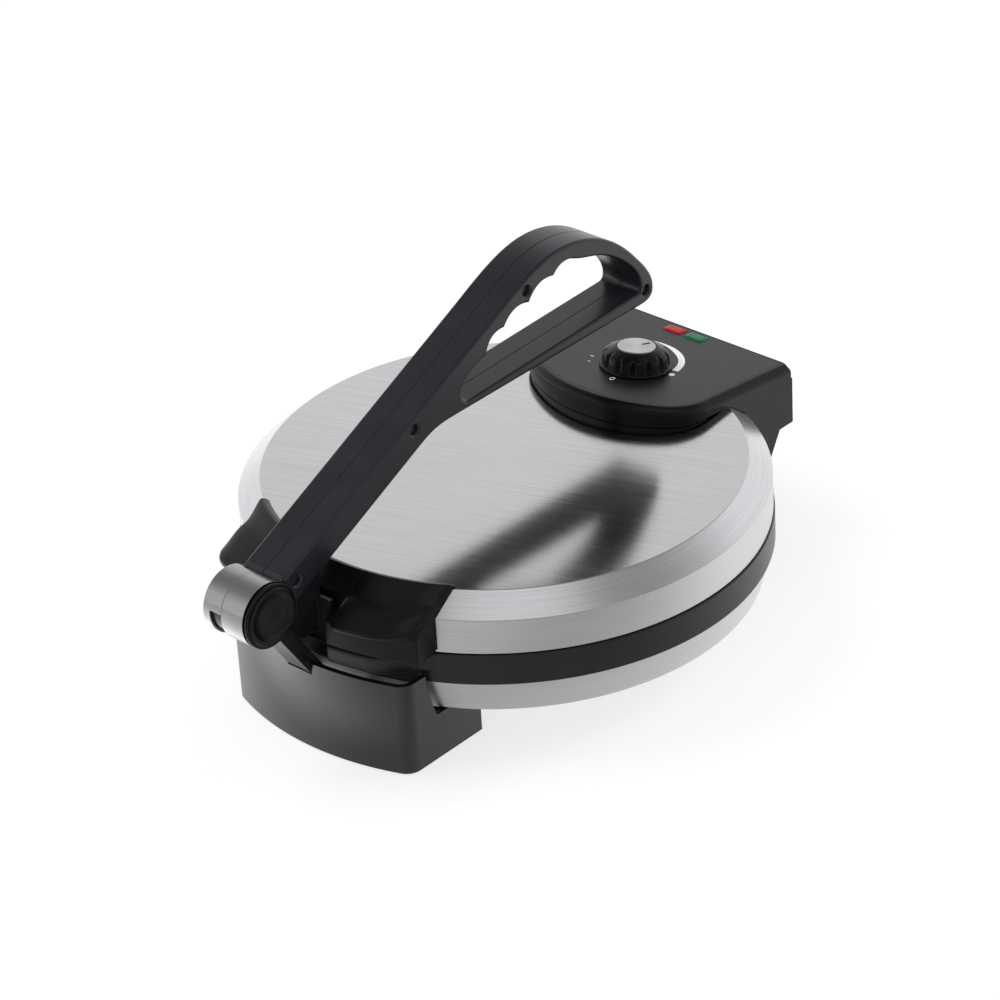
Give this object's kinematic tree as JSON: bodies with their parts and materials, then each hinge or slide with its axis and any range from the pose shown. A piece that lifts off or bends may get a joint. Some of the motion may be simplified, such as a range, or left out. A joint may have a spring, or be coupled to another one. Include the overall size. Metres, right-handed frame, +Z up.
{
  "type": "electric roti maker",
  "caption": "Round two-plate countertop flatbread press with a rear-hinged lid, a tilted dial housing and a long front press lever.",
  "frame": {"origin": "centre of the part's own footprint box, on the surface it stands on", "axes": "+Z up, -Y towards the user and the lever's barrel, +Y towards the hinge, +X to the user's right"},
  "size_m": [0.2856, 0.3786, 0.21],
  "materials": {
    "brushed_lid_steel": "brushed stainless sheet with a polished bevel",
    "inner_sheet_steel": "plain rolled sheet",
    "coated_plate": "dark non-stick coating over cast aluminium",
    "element_steel": "heat-tinted tube",
    "plated_steel": "zinc plated",
    "barrel_steel": "fine turned steel, near polished",
    "black_moulding": "satin black moulding",
    "gloss_black": "glossy black moulding",
    "satin_black": "satin black moulding",
    "lever_grey": "satin charcoal moulding with brighter rims",
    "pad_rubber": "plain rubber",
    "red_lamp": "clear red lens",
    "green_lamp": "clear green lens",
    "bulb_glass": "small neon lamps",
    "thermostat_ceramic": "unglazed body",
    "knob_silver": "spun silver insert"
  },
  "bodies": {
    "base": {"base_pan": "brushed_lid_steel", "trim_band": "black_moulding", "bottom_cover": "inner_sheet_steel", "cover_screws": "plated_steel", "lower_plate": "coated_plate", "lower_element": "element_steel", "lower_reflector": "inner_sheet_steel", "lower_spacers": "plated_steel", "lower_plate_screws": "plated_steel", "front_foot": "gloss_black", "rear_foot": "gloss_black", "foot_screws": "plated_steel", "foot_pads": "pad_rubber", "hinge_pins": "plated_steel"},
    "lid": {"lid_shell": "brushed_lid_steel", "lid_rim": "black_moulding", "upper_plate": "coated_plate", "upper_element": "element_steel", "upper_reflector": "inner_sheet_steel", "upper_spacers": "plated_steel", "upper_plate_screws": "plated_steel", "lid_handle": "black_moulding", "handle_screws": "plated_steel", "lever_bracket": "satin_black", "bracket_screws": "plated_steel", "fixed_ferrule": "barrel_steel", "control_housing": "gloss_black", "housing_screws": "plated_steel", "control_panel": "satin_black", "red_lens": "red_lamp", "green_lens": "green_lamp", "lamp_bulbs": "bulb_glass", "thermostat": "thermostat_ceramic", "cord_gland": "satin_black"},
    "knob": {"thermostat_shaft": "plated_steel", "knob_body": "gloss_black", "knob_cap": "knob_silver"},
    "lever": {"lever_left_half": "lever_grey", "lever_right_half": "lever_grey", "turning_ferrule": "barrel_steel", "pivot_pin": "plated_steel", "cap_ring": "barrel_steel", "end_cap": "satin_black", "lever_screws": "plated_steel"}
  },
  "joints": [
    {"name": "lid_hinge", "type": "hinge", "parent": "base", "child": "lid", "pos_m": [0, 0.16075, 0.048], "axis": [-1, 0, 0], "range_deg": [0, 95]},
    {"name": "lever_hinge", "type": "hinge", "parent": "lid", "child": "lever", "pos_m": [0, -0.17185, 0.1003], "axis": [1, 0, 0], "range_deg": [0, 105]},
    {"name": "thermostat_turn", "type": "hinge", "parent": "lid", "child": "knob", "pos_m": [0, 0.12635, 0.10488], "axis": [0, 0.1149, 0.9934], "range_deg": [-68, 205]}
  ]
}
